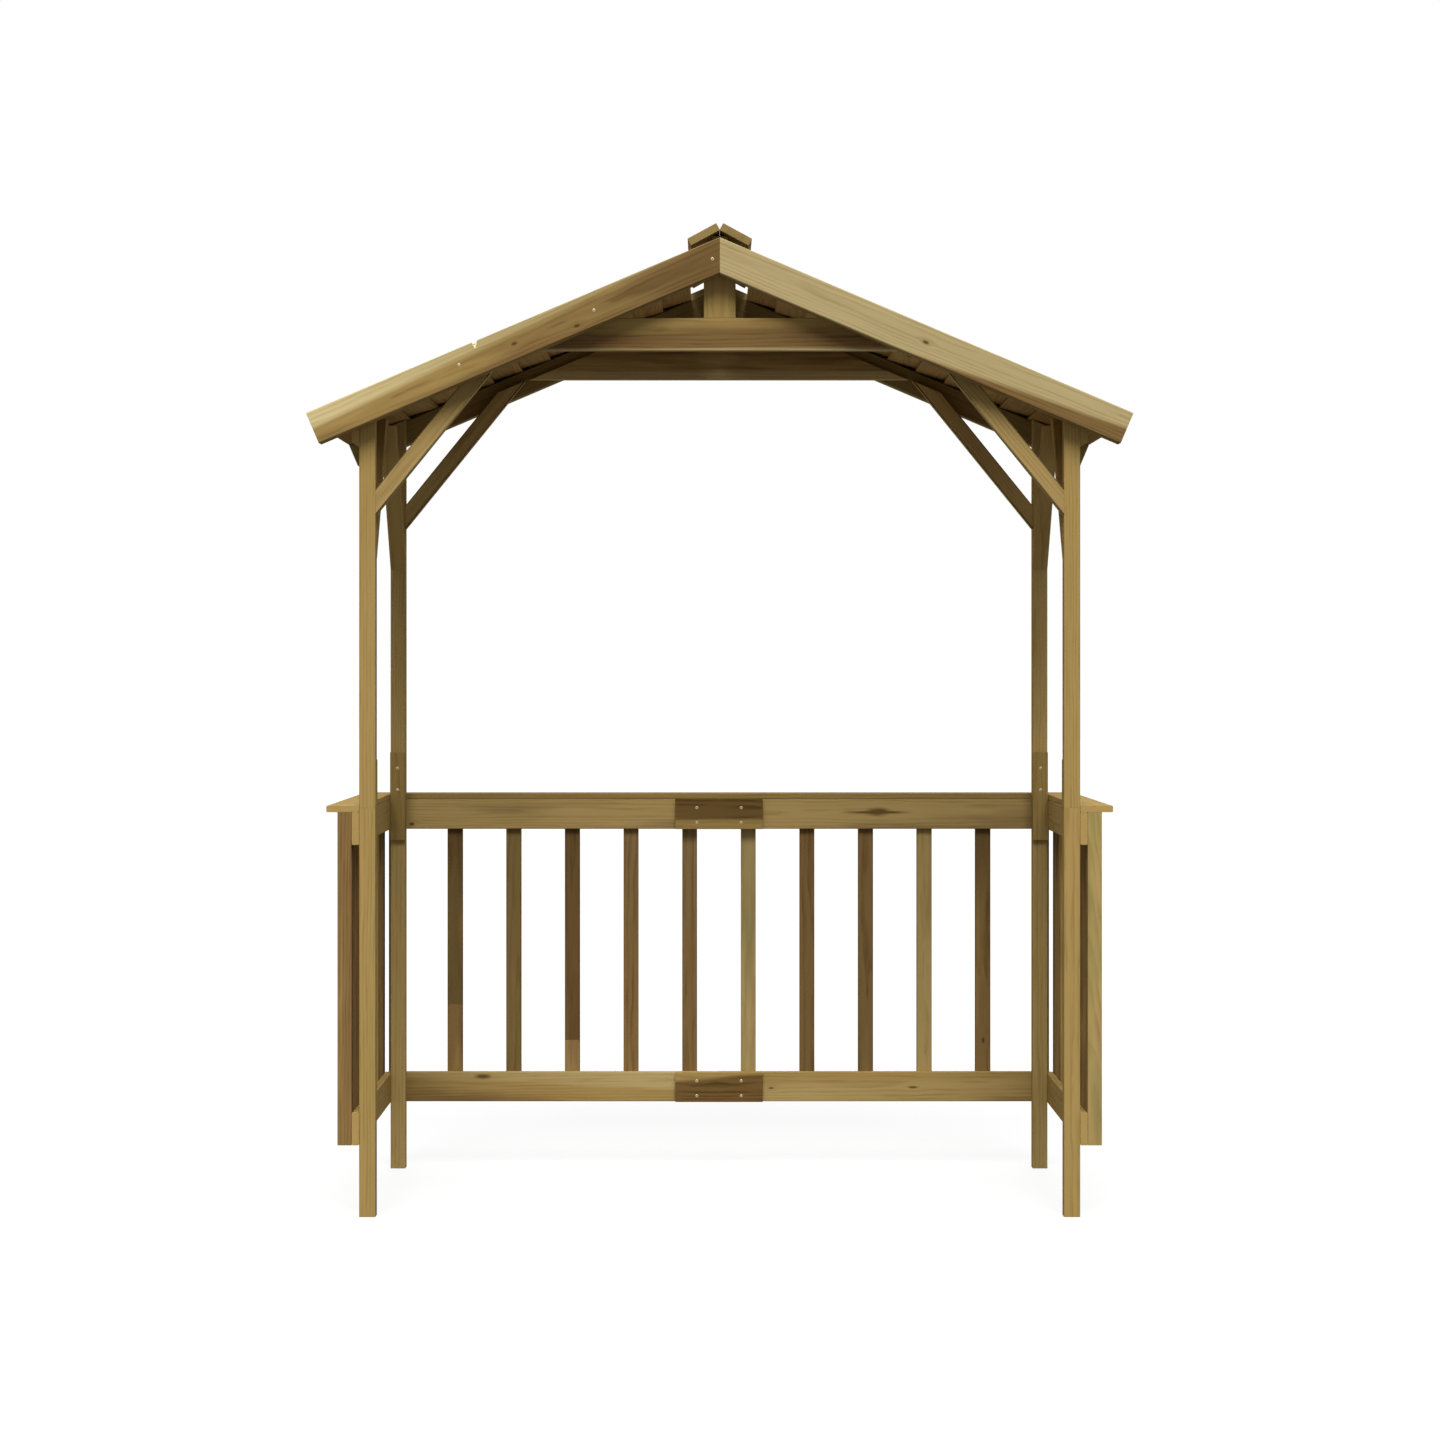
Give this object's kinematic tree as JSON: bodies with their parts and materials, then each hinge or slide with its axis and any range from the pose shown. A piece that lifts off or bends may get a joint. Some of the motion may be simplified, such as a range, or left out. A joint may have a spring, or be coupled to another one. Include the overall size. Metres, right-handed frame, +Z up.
{
  "type": "garden gazebo",
  "caption": "Open timber garden gazebo with a lapped-board gable roof, braced posts, baluster panels on three sides and a narrow shelf on the panels.",
  "frame": {"origin": "centre of the bounding box on the floor that the posts stand on", "axes": "+X to the right along the front, +Y from the open front to the rear panels, +Z up"},
  "size_m": [2.006, 1.03, 2.4201],
  "materials": {
    "frame_pine": "planed, pressure-impregnated pine, matt, olive brown",
    "roof_pine": "planed, pressure-impregnated pine boards, matt, olive brown",
    "splice_plate": "planed, pressure-impregnated pine plates, matt, dark brown"
  },
  "bodies": {
    "root": {"front_left_lower_post": "frame_pine", "front_left_upper_post": "frame_pine", "front_right_lower_post": "frame_pine", "front_right_upper_post": "frame_pine", "rear_left_lower_post": "frame_pine", "rear_left_upper_post": "frame_pine", "rear_right_lower_post": "frame_pine", "rear_right_upper_post": "frame_pine", "front_post_splices": "splice_plate", "rear_post_splices": "splice_plate", "left_top_rail": "frame_pine", "left_bottom_rail": "frame_pine", "left_balusters": "frame_pine", "right_top_rail": "frame_pine", "right_bottom_rail": "frame_pine", "right_balusters": "frame_pine", "rear_left_top_rail": "frame_pine", "rear_left_bottom_rail": "frame_pine", "rear_left_balusters": "frame_pine", "rear_right_top_rail": "frame_pine", "rear_right_bottom_rail": "frame_pine", "rear_right_balusters": "frame_pine", "rear_rail_splices": "splice_plate", "left_shelf": "frame_pine", "right_shelf": "frame_pine", "rear_left_shelf": "frame_pine", "rear_right_shelf": "frame_pine", "front_left_rafter": "frame_pine", "front_right_rafter": "frame_pine", "rear_left_rafter": "frame_pine", "rear_right_rafter": "frame_pine", "front_left_barge": "frame_pine", "front_right_barge": "frame_pine", "rear_left_barge": "frame_pine", "rear_right_barge": "frame_pine", "front_tie": "frame_pine", "rear_tie": "frame_pine", "front_king_post": "frame_pine", "rear_king_post": "frame_pine", "front_braces": "frame_pine", "rear_braces": "frame_pine", "left_braces": "frame_pine", "right_braces": "frame_pine", "left_beam": "frame_pine", "right_beam": "frame_pine", "ridge_beam": "frame_pine", "left_ridge_cap": "roof_pine", "right_ridge_cap": "roof_pine", "left_roof_boards": "roof_pine", "right_roof_boards": "roof_pine"}
  },
  "joints": []
}
